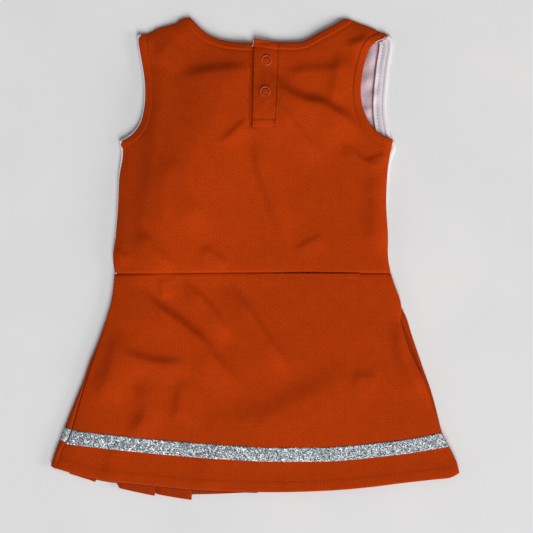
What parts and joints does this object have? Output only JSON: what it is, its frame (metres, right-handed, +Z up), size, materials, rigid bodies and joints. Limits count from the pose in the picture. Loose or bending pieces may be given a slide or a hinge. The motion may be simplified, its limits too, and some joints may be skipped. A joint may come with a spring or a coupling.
{
  "type": "cheer uniform",
  "caption": "Toddler's sleeveless cheer dress laid flat on its front: knit bodice, snap placket at the back neck, and an A-line skirt with a pleated front and a glitter band.",
  "frame": {"origin": "on the surface the dress lies on, under the middle of its bounding box", "axes": "+Z up out of the back of the dress, +Y from the hem towards the neck, +X to the right as seen from above"},
  "size_m": [0.3653, 0.4351, 0.0116],
  "materials": {
    "orange_knit": "matt burnt-orange double knit",
    "white_knit": "matt white double knit",
    "white_satin": "blank white satin label",
    "glitter_tape": "silver glitter on a woven tape",
    "snap_enamel": "glossy orange enamel on brass",
    "thread": "orange sewing thread"
  },
  "bodies": {
    "bodice": {"back_bodice": "orange_knit", "front_bodice": "white_knit", "back_neck_facing_left": "orange_knit", "back_neck_facing_right": "orange_knit", "back_armhole_facing_left": "orange_knit", "back_armhole_facing_right": "orange_knit", "front_neck_facing": "white_knit", "front_armhole_facing_left": "white_knit", "front_armhole_facing_right": "white_knit", "side_seam_left": "orange_knit", "side_seam_right": "orange_knit", "shoulder_seam_left": "orange_knit", "shoulder_seam_right": "orange_knit", "care_label": "white_satin", "placket_underlap": "orange_knit", "placket_overlap_tail": "orange_knit", "placket_bartack": "thread", "snap_stud_upper": "snap_enamel", "snap_stud_lower": "snap_enamel", "snap_stud_ring_upper": "snap_enamel", "snap_stud_ring_lower": "snap_enamel"},
    "placket_flap": {"placket_overlap": "orange_knit", "flap_neck_facing": "orange_knit", "snap_cap_ring_upper": "snap_enamel", "snap_cap_ring_lower": "snap_enamel", "snap_socket_upper": "snap_enamel", "snap_socket_lower": "snap_enamel"},
    "skirt": {"back_skirt": "orange_knit", "front_skirt": "orange_knit", "glitter_tape_back": "glitter_tape", "glitter_tape_front": "glitter_tape", "skirt_side_seam_left": "orange_knit", "skirt_side_seam_right": "orange_knit", "waist_seam_back": "orange_knit"}
  },
  "joints": [
    {"name": "placket_opening", "type": "hinge", "parent": "bodice", "child": "placket_flap", "pos_m": [0.017, 0.15, 0.0092], "axis": [0, 1, 0], "range_deg": [0, 120]},
    {"name": "waist_fold", "type": "hinge", "parent": "bodice", "child": "skirt", "pos_m": [0, -0.0126, 0.0092], "axis": [-1, 0, 0], "range_deg": [0, 165]}
  ]
}
